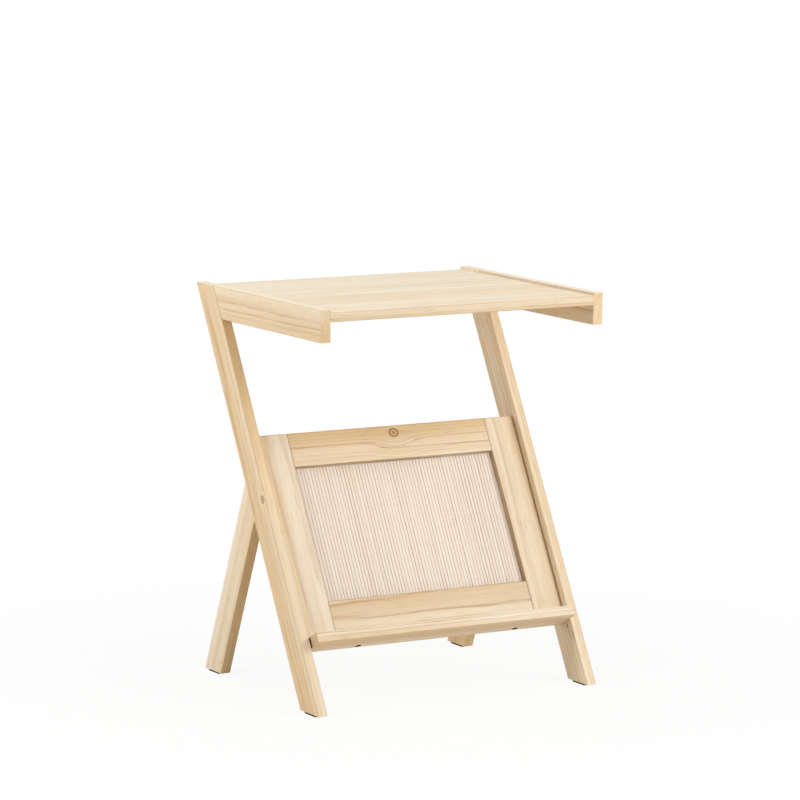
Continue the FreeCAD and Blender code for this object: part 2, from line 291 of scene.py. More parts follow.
def pine(name, centre, along, across, width, thickness, heart, cut, tone, bold=1.0, ring=0.0045, wave=0.5,
         end_shade=1.0, knots=(), lines=(), dark_lines_and_shade=(), washes=(), bores=()):
    """Lacquered pine. Growth rings run along the grain about a heart that lies off the board's middle line,
    so that faces, edges and ends agree. Cut is the board's place along the log. Tone is the share of darker
    wood at the middle line, and its gains across and through the board. Wave is how far the grain strays.
    Knots are (along, across, radius) from its centre. Lines are single dark lines: (across at the start,
    across at the end, start and end of the dip between). Dark lines and shade are (point, direction, colour,
    strength) of thin bands along a plane: dark joints, grain lines, and painted shade at inner edges and
    gaps.
    Washes come from wash(). Bores are (mouth, direction, radius) of drilled holes; their walls are painted
    near black, as the shade inside them over the darker bored wood."""
    material, shader, place = new_finish(name)
    shader.inputs["Specular IOR Level"].default_value = pine_shine
    board = grain_place(place, centre, along, across)
    log = board.vector("ADD", (cut, 0, 0))
    u, s, t = board.parts()

    wander = log.noise(wander_grain) - 0.5
    ripple = log.noise(ripple_grain, 3.0) - 0.5
    bend = s + wander * (stray_reach * wave)
    if knots:
        pull, wood, rim = knot_marks(u, s, ripple, knots)
        bend = bend - pull
    out = bend - heart[0]
    deep = t - heart[1] + wander * (stray_reach * wave) + ripple * (ripple_reach * wave)
    summer, fine_line = growth_rings((out * out + deep * deep) ** 0.5, cut, ring)
    broken = log.noise(broken_grain).rise(0.36, 0.6)
    fine_line = fine_line * broken
    for start_s, end_s, dip_start, dip_end in lines:
        single = abs(s - start_s + u.rise(dip_start, dip_end) * (start_s - end_s) + ripple * line_ripple)
        fine_line = fine_line + (1.0 - single.rise(0.0003, 0.0014)) * (broken * 0.5 + 0.9)

    bands = log.noise(band_grain, 3.0)
    blush = log.noise(blush_grain).rise(0.45, 0.75)
    fibre = log.noise(fibre_grain, 3.0, 0.6)
    dash = log.noise(dash_grain, 1.0).rise(0.6, 0.74)
    share = (bands - 0.5) * band_swing + s * (tone[1] / width) + t * (tone[2] / thickness) + tone[0]
    dark = summer * (summer_share * bold) + fine_line * (line_share * bold) + dash * dash_share
    colour = share.between(pine_cream, pine_honey).tint(pine_blush, blush * blush_share)
    colour = colour.tint(pine_line, dark).tint(pine_line, abs(fibre - 0.5) * fibre_share)

    facing = place.node("TexCoord", {}, {}, "Normal")
    ends = abs(facing.dot(along)).rise(0.55, 0.8)
    pores = log.noise(pore_grain)
    colour = colour.tint(pine_end, ends * (pores * 0.5 + summer * 0.6 + 0.2) * end_shade)
    for direction, wash_colour, strength, growth, start, end in washes:
        cover = facing.dot(direction).rise(0.8, 0.95) * place.dot(growth).rise(start, end)
        colour = colour.tint(wash_colour, cover * strength)
    worn = abs(s).rise(width / 2 - edge_wear, width / 2)
    worn = worn * abs(t).rise(thickness / 2 - edge_wear, thickness / 2)
    colour = colour.tint(pine_edge, worn * (fibre * 0.7 + 0.2))
    if knots:
        colour = colour.tint(knot_wood, wood * 0.65).tint(knot_rim, rim * 0.85)
    # Thin bands along planes: dark joints and grain lines, and painted shade at inner edges and in gaps.
    for point, direction, edge_colour, strength in dark_lines_and_shade:
        shade = 1.0 - abs(place.dot(direction) - point.dot(direction)).rise(0.0003, 0.001)
        colour = colour.tint(edge_colour, shade * (broken * 0.35 + 0.4) * strength)
    # Painted shade in drilled holes: the walls are tinted near black, over the darker raw wood of the bore.
    for mouth, direction, bore_radius in bores:
        beside = place.vector("SUBTRACT", mouth).vector("CROSS_PRODUCT", direction).length()
        colour = colour.tint(bore_shade, 1.0 - beside.rise(bore_radius + 0.0001, bore_radius + 0.0003))

    roughness = fibre * 0.14 - summer * 0.05 + ends * 0.12 + pine_roughness
    dress(shader, colour, roughness, summer * 0.5 + fibre, pine_relief)
    return material


def bevelled(work, edges, size, segments):
    bmesh.ops.bevel(work, geom=edges, offset=size, offset_type="OFFSET", segments=segments, profile=0.5,
                    affect="EDGES", clamp_overlap=True, material=-1)


def edges_along(work, direction):
    """The edges that run along a direction."""
    parallel = 0.999
    runs = [(edge, (edge.verts[1].co - edge.verts[0].co).normalized()) for edge in work.edges]
    return [edge for edge, run in runs if abs(run.dot(direction)) > parallel]


def ease_ends(work, size):
    """Takes the sharpness off every edge that is still square."""
    square = math.radians(50)
    bevelled(work, [edge for edge in work.edges if edge.calc_face_angle() > square], size, end_segments)


def sweep(outline, direction):
    """Closed solid: a flat outline of points, swept by a vector."""
    work = bmesh.new()
    face = work.faces.new([work.verts.new(corner) for corner in outline])
    swept = bmesh.ops.extrude_face_region(work, geom=[face])["geom"]
    moved = [part for part in swept if isinstance(part, bmesh.types.BMVert)]
    bmesh.ops.translate(work, vec=direction, verts=moved)
    bmesh.ops.recalc_face_normals(work, faces=work.faces)
    return work


def as_mesh(name, work):
    mesh = bpy.data.meshes.new(name)
    work.to_mesh(mesh)
    work.free()
    return mesh


def show(name, mesh, material, slot, *nodes):
    """Shows a finished mesh as a piece of the table that stands for its CAD nodes."""
    sharp = math.radians(40)
    mesh.materials.clear()
    mesh.materials.append(material)
    mesh.shade_smooth()
    mesh.set_sharp_from_angle(angle=sharp)
    piece = bpy.data.objects.new(name, mesh)
    bpy.context.scene.collection.objects.link(piece)
    level = piece.modifiers.new("level_faces", "WEIGHTED_NORMAL")
    level.keep_sharp = True
    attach(piece, "root")
    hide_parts(*nodes)


def side_member(outline, side, inner, along):
    """Side frame member: an outline of (y, z) points, one stock thickness outwards from inner."""
    corners = [Vector((side * inner, y, z)) for y, z in outline]
    work = sweep(corners, X_AXIS * (side * stock))
    bevelled(work, edges_along(work, along), stock_ease, stock_segments)
    ease_ends(work, end_ease)
    return work


leg_outline = [(leg_low.y, leg_low.z), (leg_low.y + leg_foot_length, leg_low.z),
               (leg_high.y, leg_high.z), (leg_high.y - leg_foot_length, leg_high.z)]
leg_hearts = {"left": (0.012, 0.055), "right": (-0.03, -0.035)}
leg_cuts = {"left": 1.7, "right": 5.2}
leg_tones = {"left": (0.72, 0.8, 0.0), "right": (0.4, 0.4, 0.0)}
leg_bold = 0.9
leg_wave = 0.35
leg_end_shade = 0.25
leg_line_back = -0.0114
leg_lines = {"left": [], "right": [(leg_line_back, leg_line_back, 0.0, leg_length)]}
leg_knots = {"left": (0.3195, 0.0076, 0.0042), "right": (0.0930, 0.0111, 0.0022)}
# Painted light: faces that look up are washed pale cream, as lit brightly from above.
painted_top_light = wash(Z_AXIS, pine_cream, 0.85)
foot_up = leg_foot.dot(leg_up)
gold_start = 0.2
gold_end = 0.46
# Painted warm light: gold on the legs' front faces stands for light bounced off the wood, growing up the left
# leg.
leg_front_warm_light = {
    "left": wash(-leg_back, gold_wood_and_warm_light, 0.45, leg_up, foot_up + gold_start, foot_up + gold_end),
    "right": wash(-leg_back, gold_wood_and_warm_light, 0.12),
}
for side_name, side in SIDES:
    middle = leg_point(side * (leg_low.x + stock / 2), leg_length / 2, stock_width / 2)
    knot_up, knot_back, knot_radius = leg_knots[side_name]
    finish = pine(f"{side_name}_front_leg_pine", middle, leg_up, leg_back, stock_width, stock,
                  leg_hearts[side_name], leg_cuts[side_name], leg_tones[side_name], leg_bold,
                  wave=leg_wave, end_shade=leg_end_shade, lines=leg_lines[side_name],
                  washes=[painted_top_light, leg_front_warm_light[side_name]],
                  knots=[(knot_up - leg_length / 2, knot_back - stock_width / 2, knot_radius)])
    mesh = as_mesh(f"{side_name}_front_leg_mesh", side_member(leg_outline, side, leg_low.x, leg_up))
    show(f"{side_name}_front_leg_board", mesh, finish, "pale_pine", f"{side_name}_front_leg")

# Top rails: short members of the same stock, level, with square front ends.
# Each is cut on the slant at the back and dowelled and glued to the front edge of its leg.
rail_low, rail_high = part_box("right_top_rail")
rail_outline = [(rail_low.y, rail_low.z), (rail_high.y - stock_width * math.tan(leg_lean), rail_low.z),
                (rail_high.y, rail_high.z), (rail_low.y, rail_high.z)]
rail_middle_y = (rail_low.y + rail_high.y) / 2
rail_middle_z = (rail_low.z + rail_high.z) / 2
rail_hearts = {"left": (0.022, 0.06), "right": (-0.022, 0.06)}
rail_cuts = {"left": 11.4, "right": 14.9}
rail_tones = {"left": (0.55, -0.5, 0.0), "right": (0.2, -0.3, 0.0)}
rail_bold = 1.0
rail_ring = 0.0028
rail_wave = 0.2
rail_end_shade = 0.1
rail_end_golds = {"left": 0.16, "right": 0.32}
seam_shade = srgb(120, 86, 50)
# inner_shade is the brown of painted shade in steps and recesses.
inner_shade = srgb(140, 96, 40)
rail_seam = (leg_foot, leg_back, seam_shade, 0.75)
lip_shade = 0.35
lip_height = 0.0035
pin_knot_y = -0.0269
pin_knot_z = 0.5378
pin_knot_radius = 0.0011
pin_knot = (pin_knot_y - rail_middle_y, pin_knot_z - rail_middle_z, pin_knot_radius)
rail_knots = {"left": [pin_knot], "right": []}
for side_name, side in SIDES:
    middle = Vector((side * (rail_low.x + stock / 2), rail_middle_y, rail_middle_z))
    end_gold = wash(-Y_AXIS, gold_wood_and_warm_light, rail_end_golds[side_name])
    # Painted shade: the inner face of the rail above the table top is tinted brown, as the shade in that
    # step.
    rail_lip_shade = wash(X_AXIS * -side, inner_shade, lip_shade, Z_AXIS, rail_high.z - lip_height * 2,
               rail_high.z - lip_height)
    finish = pine(f"{side_name}_top_rail_pine", middle, Y_AXIS, Z_AXIS, stock_width, stock,
                  rail_hearts[side_name], rail_cuts[side_name], rail_tones[side_name], rail_bold, rail_ring,
                  rail_wave, rail_end_shade, knots=rail_knots[side_name], dark_lines_and_shade=[rail_seam],
                  washes=[painted_top_light, end_gold, rail_lip_shade])
    mesh = as_mesh(f"{side_name}_top_rail_mesh", side_member(rail_outline, side, rail_low.x, Y_AXIS))
    show(f"{side_name}_top_rail_board", mesh, finish, "pale_pine", f"{side_name}_top_rail")

# Rack frame: two stiles and two rails of pine, dowelled and glued at the corners and rounded on the outside.
# A groove round its inner edges holds the reeded insert, and cam locks sit in the back of the stiles.


def leg_box(node):
    """A node's lowest and highest places: across, up along the front leg and back from its front edge."""
    offsets = [vertex.co - leg_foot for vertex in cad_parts[node].data.vertices]
    places = [(offset.x, offset.dot(leg_up), offset.dot(leg_back)) for offset in offsets]
    return Vector(map(min, *places)), Vector(map(max, *places))


def leg_middle(low, high):
    """Middle of a block, from two corners given as (x, up, back)."""
    return leg_point(*((low + high) / 2))


def rack_block(low, high):
    """Block with its faces square to the front leg, from two corners given as (x, up, back)."""
    corners = [(low.y, low.z), (high.y, low.z), (high.y, high.z), (low.y, high.z)]
    return sweep([leg_point(low.x, up, back) for up, back in corners], X_AXIS * (high.x - low.x))


def carve(mesh, cutter):
    """Cuts one mesh out of another, and leaves no cutter or modifier behind."""
    body = bpy.data.objects.new("carved", mesh)
    tool = bpy.data.objects.new("cutter", cutter)
    for helper in (body, tool):
        bpy.context.scene.collection.objects.link(helper)
    cut = body.modifiers.new("cut", "BOOLEAN")
    cut.operation = "DIFFERENCE"
    cut.solver = "EXACT"
    cut.object = tool
    carved = bpy.data.meshes.new_from_object(body.evaluated_get(bpy.context.evaluated_depsgraph_get()))
    for helper in (body, tool):
        bpy.data.objects.remove(helper)
    return carved


def add_round(work, point, direction, radius, depth, tip_radius=None):
    """Adds a round cutter that goes in from a point, with a little of it standing out."""
    stand_out = 0.0005
    round_segments = 40
    spin = Z_AXIS.rotation_difference(direction).to_matrix().to_4x4()
    middle = point + direction * ((depth - stand_out) / 2)
    bmesh.ops.create_cone(work, cap_ends=True, segments=round_segments, radius1=radius,
                          radius2=radius if tip_radius is None else tip_radius, depth=depth + stand_out,
                          matrix=Matrix.Translation(middle) @ spin)


rack_ease = 0.003
rack_segments = 5
inner_ease = 0.0004
cam_pocket_radius = 0.0061
groove_clearance = 0.0001
touch = 0.00001
stile_low, stile_high = leg_box("rack_right_stile")
top_rail_low, top_rail_high = leg_box("rack_top_rail")
bottom_rail_low, bottom_rail_high = leg_box("rack_bottom_rail")
backing_low, backing_high = leg_box("reed_backing")
cams_low, cams_high = leg_box("rack_cam_locks")
groove_margin = Vector((groove_clearance,) * 3)


def groove_cutter():
    return as_mesh("groove", rack_block(backing_low - groove_margin, backing_high + groove_margin))


def rack_edges(work, choose):
    """Edges that choose picks from their middle's x and place up the leg."""
    picked = []
    for edge in work.edges:
        middle = (edge.verts[0].co + edge.verts[1].co) / 2
        if choose(middle.x, (middle - leg_foot).dot(leg_up)):
            picked.append(edge)
    return picked


# Painted shade: the frame's inner faces and edges round the opening are tinted brown, as the recess's shade.
inner_edge_shade = 0.9
stile_hearts = {"left": (0.018, 0.06), "right": (0.004, 0.045)}
stile_cuts = {"left": 21.3, "right": 27.8}
stile_tones = {"left": (0.15, -0.7, 0.0), "right": (0.22, 0.2, 0.0)}
stile_ring = 0.006
for side_name, side in SIDES:
    work = rack_block(stile_low, stile_high)
    outside = rack_edges(work, lambda x, up: x > stile_low.x + touch and up > stile_low.y + touch)
    bevelled(work, outside, rack_ease, rack_segments)
    ease_ends(work, inner_ease)
    pockets = bmesh.new()
    for up in (cams_low.y + cam_pocket_radius, cams_high.y - cam_pocket_radius):
        seat = leg_point(cams_high.x - cam_pocket_radius, up, stile_high.z)
        add_round(pockets, seat, -leg_back, cam_pocket_radius, cams_high.z - cams_low.z)
    mesh = carve(as_mesh("stile", work), groove_cutter())
    mesh = carve(mesh, as_mesh("pockets", pockets))
    if side < 0:
        mesh.transform(Matrix.Scale(-1, 4, X_AXIS))
        mesh.flip_normals()
    middle = leg_middle(stile_low, stile_high)
    middle.x *= side
    opening_edge_shade = (X_AXIS * (side * stile_low.x), X_AXIS, inner_shade, inner_edge_shade)
    finish = pine(f"rack_{side_name}_stile_pine", middle, leg_up, X_AXIS, stile_high.x - stile_low.x,
                  stile_high.z - stile_low.z, stile_hearts[side_name], stile_cuts[side_name],
                  stile_tones[side_name], ring=stile_ring, dark_lines_and_shade=[opening_edge_shade])
    show(f"rack_{side_name}_stile_board", mesh, finish, "pale_pine", f"rack_{side_name}_stile")

rail_seam_shade = 0.4
rail_knot_x = 0.0084
rail_knot_up = 0.4024
rail_knot_radius = 0.0058
rail_line = (0.002, -0.009, -0.048, 0.002)
rack_rails = (
    ("rack_top_rail", top_rail_low, top_rail_high, (-0.045, 0.03), 33.6, (0.55, 0.9, 0.0), True),
    ("rack_bottom_rail", bottom_rail_low, bottom_rail_high, (0.01, -0.05), 38.2, (0.4, 0.3, 0.0), False),
)
for name, low, high, heart, cut, tone, is_top in rack_rails:
    work = rack_block(low, high)
    knots = []
    lines = []
    dark_lines_and_shade = [(leg_point(end, 0, 0), X_AXIS, seam_shade, rail_seam_shade) for end in (low.x, high.x)]
    # Painted shade along the rail's edge at the opening.
    dark_lines_and_shade.append((leg_point(0, low.y if is_top else high.y, 0), leg_up, inner_shade, inner_edge_shade))
    if is_top:
        outside = rack_edges(work, lambda x, up: abs(x) < high.x - touch and up > high.y - touch)
        bevelled(work, outside, rack_ease, rack_segments)
        knots = [(rail_knot_x, rail_knot_up - (low.y + high.y) / 2, rail_knot_radius)]
        lines = [rail_line]
    ease_ends(work, inner_ease)
    mesh = carve(as_mesh(name + "_mesh", work), groove_cutter())
    finish = pine(name + "_pine", leg_middle(low, high), X_AXIS, leg_up, high.y - low.y, high.z - low.z,
                  heart, cut, tone, knots=knots, lines=lines, dark_lines_and_shade=dark_lines_and_shade)
    show(name + "_board", mesh, finish, "pale_pine", name)

# Reeded insert: slender half-round strips of pale wood, side by side and upright in the rack's opening.
# They are glued to a thin plywood backing, whose edges sit in the frame's groove.
reeds_low, reeds_high = leg_box("reed_strips")
reed_pitch = 0.0052
reed_gap = 0.0001
reed_wander = 0.0006
reed_least_height = 0.95
reed_round = 0.0009
reed_segments = 4
reed_seed = 7
reed_count = round((reeds_high.x - reeds_low.x) / reed_pitch)
reed_spacing = (reeds_high.x - reeds_low.x) / reed_count
reed_cream = srgb(239, 228, 215)
reed_rose = srgb(235, 220, 206)
reed_line = srgb(216, 182, 148)
# The brown of painted shade on the strips' flanks, deep in the grooves.
reed_groove_shade = srgb(176, 134, 96)
reed_groove_margin = 0.0004
reed_fibre_grain = (14.0, 1400.0, 1400.0)
reed_streak_grain = (4.0, 420.0, 420.0)
reed_relief = 0.00008
ply_pale = srgb(226, 196, 150)
ply_dark = srgb(198, 158, 108)
ply_figure_grain = (2.5, 14.0, 14.0)
ply_figure_lines = 9.0
ply_fibre_grain = (18.0, 900.0, 900.0)
ply_blotch_grain = (5.0, 9.0, 9.0)
ply_relief = 0.0001


def reed_finish():
    """Bare pale wood whose tone changes from strip to strip, with painted shade deep in some of the grooves.
    """
    material, shader, place = new_finish("reed_strip_wood")
    strip = grain_place(place, leg_foot, leg_up, X_AXIS)
    x, depth = strip.parts()[1:]
    number = x.math("FLOOR", (x - reeds_low.x) / reed_spacing)
    chance = number.node("TexWhiteNoise", {"noise_dimensions": "1D"}, {"W": number}, "Color").parts()
    shift = place.node("CombineXYZ", {}, {0: number * 3.7, 1: number * 0.13, 2: 0.0})
    grain = strip.vector("ADD", shift)
    fibre = grain.noise(reed_fibre_grain, 3.0, 0.6)
    streak = grain.noise(reed_streak_grain)
    groove_shade = depth.rise(reeds_low.z + reed_groove_margin, reeds_high.z - reed_groove_margin)
    colour = chance[0].between(reed_cream, reed_rose)
    colour = colour.tint(reed_line, streak.rise(0.55, 0.8) * (chance[1] * 0.4 + 0.1))
    colour = colour.tint(reed_line, abs(fibre - 0.5) * 0.4)
    # Painted shade: on some strips the flanks darken towards the backing, as the shade deep in the groove.
    colour = colour.tint(reed_groove_shade, groove_shade * (chance[2].rise(0.7, 0.95) * 0.35))
    dress(shader, colour, fibre * 0.15 + 0.5, fibre + streak * 0.5, reed_relief)
    return material


def ply_finish():
    """Sanded rotary-cut plywood, with its wide wavy figure running upwards."""
    material, shader, place = new_finish("reed_backing_ply")
    sheet = grain_place(place, leg_foot, leg_up, X_AXIS)
    figure = sheet.noise(ply_figure_grain) * ply_figure_lines
    figure = figure.math("FRACT", figure).rise(0.2, 1.0)
    fibre = sheet.noise(ply_fibre_grain, 3.0, 0.6)
    blotch = sheet.noise(ply_blotch_grain)
    colour = (figure * 0.45 + fibre * 0.3).between(ply_pale, ply_dark)
    colour = colour.tint(ply_dark, blotch.rise(0.5, 0.8) * 0.25)
    dress(shader, colour, fibre * 0.15 + 0.55, fibre + figure * 0.3, ply_relief)
    return material


rng = random.Random(reed_seed)
reeds = bmesh.new()
for index in range(reed_count):
    width = reed_spacing - reed_gap - reed_wander * rng.random() ** 3
    height = (reeds_high.z - reeds_low.z) * rng.uniform(reed_least_height, 1.0)
    spare = reed_spacing - reed_gap - width
    middle_x = reeds_low.x + (index + 0.5) * reed_spacing + rng.uniform(-0.5, 0.5) * spare
    low = Vector((middle_x - width / 2, reeds_low.y, reeds_high.z - height))
    high = Vector((middle_x + width / 2, reeds_high.y, reeds_high.z))
    strip = rack_block(low, high)
    front = leg_point(0, 0, low.z + touch)
    crest = [edge for edge in edges_along(strip, leg_up)
             if all((vertex.co - front).dot(leg_back) < 0 for vertex in edge.verts)]
    bevelled(strip, crest, reed_round, reed_segments)
    made = as_mesh("reed", strip)
    reeds.from_mesh(made)
    bpy.data.meshes.remove(made)
show("reed_strip_row", as_mesh("reed_strips_mesh", reeds), reed_finish(), "reed_wood", "reed_strips")

work = rack_block(backing_low, backing_high)
ease_ends(work, groove_clearance)
show("reed_backing_sheet", as_mesh("reed_backing_mesh", work), ply_finish(), "backing_ply", "reed_backing")

# Magazine ledge: a pine batten square to the rack's foot, whose front edge stands out past the legs.
# Two screws, sunk in round holes in its underside, hold it up against the rack's bottom rail.
ledge_low, ledge_high = leg_box("magazine_ledge")
screws_low, screws_high = leg_box("ledge_screws")
ledge_ease = 0.0015
ledge_segments = 4
counterbore_radius = 0.0042
counterbore_depth = 0.005
screw_head_radius = 0.0038
ledge_heart = (0.03, -0.05)
ledge_cut = 44.1
ledge_tone = (0.15, 0.1, -0.6)
ledge_bold = 1.1
ledge_ring = 0.003
ledge_end_shade = 0.7
# Painted shade: a thin dark line round each end of the ledge, where it meets the legs.
ledge_end_shade_line = 0.15
# Painted shade: behind the legs' front edges the ledge's end faces are tinted near black, as the gap's shade.
slot_shade = 0.85
slot_fade = 0.001
foot_back = leg_foot.dot(leg_back)
work = rack_block(ledge_low, ledge_high)
bevelled(work, edges_along(work, X_AXIS), ledge_ease, ledge_segments)
ease_ends(work, end_ease)
drill = bmesh.new()
bores = []
dark_lines_and_shade = []
end_gap_shades = []
for _, side in SIDES:
    screw_x = side * (screws_high.x - screw_head_radius)
    mouth = leg_point(screw_x, ledge_low.y, (screws_low.z + screws_high.z) / 2)
    add_round(drill, mouth, leg_up, counterbore_radius, counterbore_depth)
    bores.append((mouth, leg_up, counterbore_radius))
    # Painted shade at the ends: a dark line round each end, and the end face darkened in the gap behind the
    # leg.
    dark_lines_and_shade.append((X_AXIS * (side * ledge_high.x), X_AXIS, seam_shade, ledge_end_shade_line))
    end_gap_shades.append(wash(X_AXIS * side, bore_shade, slot_shade, leg_back, foot_back - slot_fade,
                      foot_back + slot_fade))
mesh = carve(as_mesh("ledge", work), as_mesh("drill", drill))
finish = pine("magazine_ledge_pine", leg_middle(ledge_low, ledge_high), X_AXIS, leg_back,
              ledge_high.z - ledge_low.z, ledge_high.y - ledge_low.y, ledge_heart, ledge_cut, ledge_tone,
              ledge_bold, ledge_ring, end_shade=ledge_end_shade, dark_lines_and_shade=dark_lines_and_shade, washes=end_gap_shades, bores=bores)
show("magazine_ledge_batten", mesh, finish, "pale_pine", "magazine_ledge")

# Rear legs: two members of the same stock, leaning forward, with level feet.
# Each is lapped on the inner face of its front leg behind the rack, and held there by two countersunk screws.
rear_low, rear_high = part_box("right_rear_leg")
rear_tip_up = leg_box("right_rear_leg")[1].y
rear_tip_back = leg_box("right_rear_leg")[0].z
rear_tip = leg_point(0, rear_tip_up, rear_tip_back)
rear_lean = math.atan2(rear_high.y - rear_tip.y, rear_tip.z - rear_low.z)
rear_up = Vector((0, -math.sin(rear_lean), math.cos(rear_lean)))
rear_back = Vector((0, math.cos(rear_lean), math.sin(rear_lean)))
rear_foot_length = stock_width / math.cos(rear_lean)
rear_front_tip = rear_tip - leg_up * (stock_width / math.sin(leg_lean + rear_lean))
rear_outline = [(rear_high.y, rear_low.z), (rear_tip.y, rear_tip.z), (rear_front_tip.y, rear_front_tip.z),
                (rear_high.y - rear_foot_length, rear_low.z)]
rear_length = (rear_tip.z - rear_low.z) / math.cos(rear_lean)
rear_screws_low, rear_screws_high = leg_box("rear_leg_screws")
countersink_depth = 0.0022
screw_radius = 0.002
rear_hearts = {"left": (0.03, 0.04), "right": (-0.02, 0.05)}
rear_cuts = {"left": 51.7, "right": 57.3}
rear_tones = {"left": (0.3, -1.4, 0.0), "right": (1.3, 0.0, 0.0)}
rear_bold = 0.7
# Painted shade: the right rear leg's inner face is tinted darker, as the shade it stands in under the ledge.
rear_painted_shade = {"left": [], "right": [wash(-X_AXIS, pine_line, 0.15)]}
rear_knot_y = 0.130
rear_knot_z = 0.018
rear_knot_radius = 0.0009
for side_name, side in SIDES:
    sinks = bmesh.new()
    for up in (rear_screws_low.y + screw_head_radius, rear_screws_high.y - screw_head_radius):
        mouth = leg_point(side * rear_low.x, up, (rear_screws_low.z + rear_screws_high.z) / 2)
        add_round(sinks, mouth, X_AXIS * side, screw_head_radius, countersink_depth, screw_radius)
    mesh = as_mesh("rear_leg", side_member(rear_outline, side, rear_low.x, rear_up))
    mesh = carve(mesh, as_mesh("sinks", sinks))
    middle = Vector((side * (rear_low.x + stock / 2), rear_high.y, rear_low.z))
    middle += rear_up * (rear_length / 2) - rear_back * (stock_width / 2)
    knot = Vector((middle.x, rear_knot_y, rear_knot_z)) - middle
    knots = [(knot.dot(rear_up), knot.dot(rear_back), rear_knot_radius)] if side_name == "left" else []
    finish = pine(f"{side_name}_rear_leg_pine", middle, rear_up, rear_back, stock_width, stock,
                  rear_hearts[side_name], rear_cuts[side_name], rear_tones[side_name], rear_bold, knots=knots,
                  washes=rear_painted_shade[side_name])
    show(f"{side_name}_rear_leg_board", mesh, finish, "pale_pine", f"{side_name}_rear_leg")

# Table top: a pine panel let in between the rails, a little below their upper edges.
# Its front and back edges are softened. It hangs on dowels, and on cam locks let into its underside.
top_low, top_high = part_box("table_top")
top_cams_low, top_cams_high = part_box("table_top_cam_locks")
top_ease = 0.002
top_segments = 4
top_heart = (0.02, -0.09)
top_cut = 63.9
top_tone = (0.53, 0.0, -0.9)
top_bold = 0.35
top_ring = 0.006
top_line_drop = 0.0014
low_line_rise = 0.0045
front_edge_honey = wash(-Y_AXIS, pine_honey, 0.15)
front_edge_lines = [(Z_AXIS * (top_high.z - top_line_drop), Z_AXIS, pine_line, 0.5),
                    (Z_AXIS * (top_low.z + low_line_rise), Z_AXIS, pine_line, 0.45)]
top_outline = [(top_low.y, top_low.z), (top_high.y, top_low.z),
               (top_high.y, top_high.z), (top_low.y, top_high.z)]
work = sweep([Vector((top_low.x, y, z)) for y, z in top_outline], X_AXIS * (top_high.x - top_low.x))
bevelled(work, edges_along(work, X_AXIS), top_ease, top_segments)
ease_ends(work, end_ease)
pockets = bmesh.new()
for _, side in SIDES:
    for y in (top_cams_low.y + cam_pocket_radius, top_cams_high.y - cam_pocket_radius):
        seat = Vector((side * (top_cams_high.x - cam_pocket_radius), y, top_low.z))
        add_round(pockets, seat, Z_AXIS, cam_pocket_radius, top_cams_high.z - top_cams_low.z)
mesh = carve(as_mesh("top", work), as_mesh("pockets", pockets))
finish = pine("table_top_pine", (top_low + top_high) / 2, X_AXIS, Y_AXIS, top_high.y - top_low.y,
              top_high.z - top_low.z, top_heart, top_cut, top_tone, top_bold, ring=top_ring,
              dark_lines_and_shade=front_edge_lines, washes=[front_edge_honey])
show("table_top_panel", mesh, finish, "pale_pine", "table_top")

# Foot pads: thin strips of dense black felt, glued under the four feet.
# They keep the end grain off the floor.
pad_ease = 0.0005
felt_black = srgb(3, 3, 3)
felt_grey = srgb(16, 15, 15)
felt_shine = 0.0
felt_hair_grain = (2600.0, 2600.0, 2600.0)
felt_patch_grain = (320.0, 320.0, 320.0)
felt_relief = 0.0002


def felt_finish():
    """Pressed black felt, a shade greyer in patches and along its hairs."""
    material, shader, place = new_finish("foot_pad_felt")
    shader.inputs["Specular IOR Level"].default_value = felt_shine
    hair = place.noise(felt_hair_grain, 3.0, 0.7)
    patch = place.noise(felt_patch_grain)
    colour = (hair * 0.6 + patch * 0.3).between(felt_black, felt_grey)
    dress(shader, colour, hair * 0.2 + 0.75, hair, felt_relief)
    return material


felt = felt_finish()
for side_name, _ in SIDES:
    for end in ("front", "rear"):
        node = f"{side_name}_{end}_foot_pad"
        low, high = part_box(node)
        work = bmesh.new()
        bmesh.ops.create_cube(work, size=1.0, matrix=Matrix.Translation((low + high) / 2)
                              @ Matrix.Diagonal((high - low).to_4d()))
        ease_ends(work, pad_ease)
        show(node + "_felt", as_mesh(node + "_mesh", work), felt, "black_pad", node)

# Fixings: turned beech dowels, hidden in their holes, and zinc-plated screws, cam locks and cam bolts.
# The screw heads and the cams' slotted faces show from below and behind.
zinc_dull = srgb(168, 168, 164)
zinc_bright = srgb(214, 214, 212)
zinc_cloud_grain = (260.0, 260.0, 260.0)
zinc_scratch_grain = (5000.0, 700.0, 700.0)
zinc_relief = 0.00003
beech_pale = srgb(222, 186, 140)
beech_dark = srgb(184, 138, 90)
beech_fleck_grain = (90.0, 900.0, 900.0)
beech_fibre_grain = (40.0, 1500.0, 1500.0)
beech_relief = 0.00008


def zinc_finish():
    """Zinc plating, cloudy and finely scratched."""
    material, shader, place = new_finish("fixing_zinc")
    shader.inputs["Metallic"].default_value = 1.0
    cloud = place.noise(zinc_cloud_grain, 3.0)
    scratch = place.noise(zinc_scratch_grain)
    colour = (cloud * 0.8 + scratch * 0.2).between(zinc_dull, zinc_bright)
    dress(shader, colour, cloud * 0.2 + scratch * 0.15 + 0.18, scratch, zinc_relief)
    return material


def beech_finish():
    """Bare beech with short dark flecks."""
    material, shader, place = new_finish("fixing_beech")
    fleck = place.noise(beech_fleck_grain).rise(0.5, 0.75)
    fibre = place.noise(beech_fibre_grain, 3.0)
    colour = (fleck * 0.5 + fibre * 0.3).between(beech_pale, beech_dark)
    dress(shader, colour, fibre * 0.1 + 0.5, fibre, beech_relief)
    return material


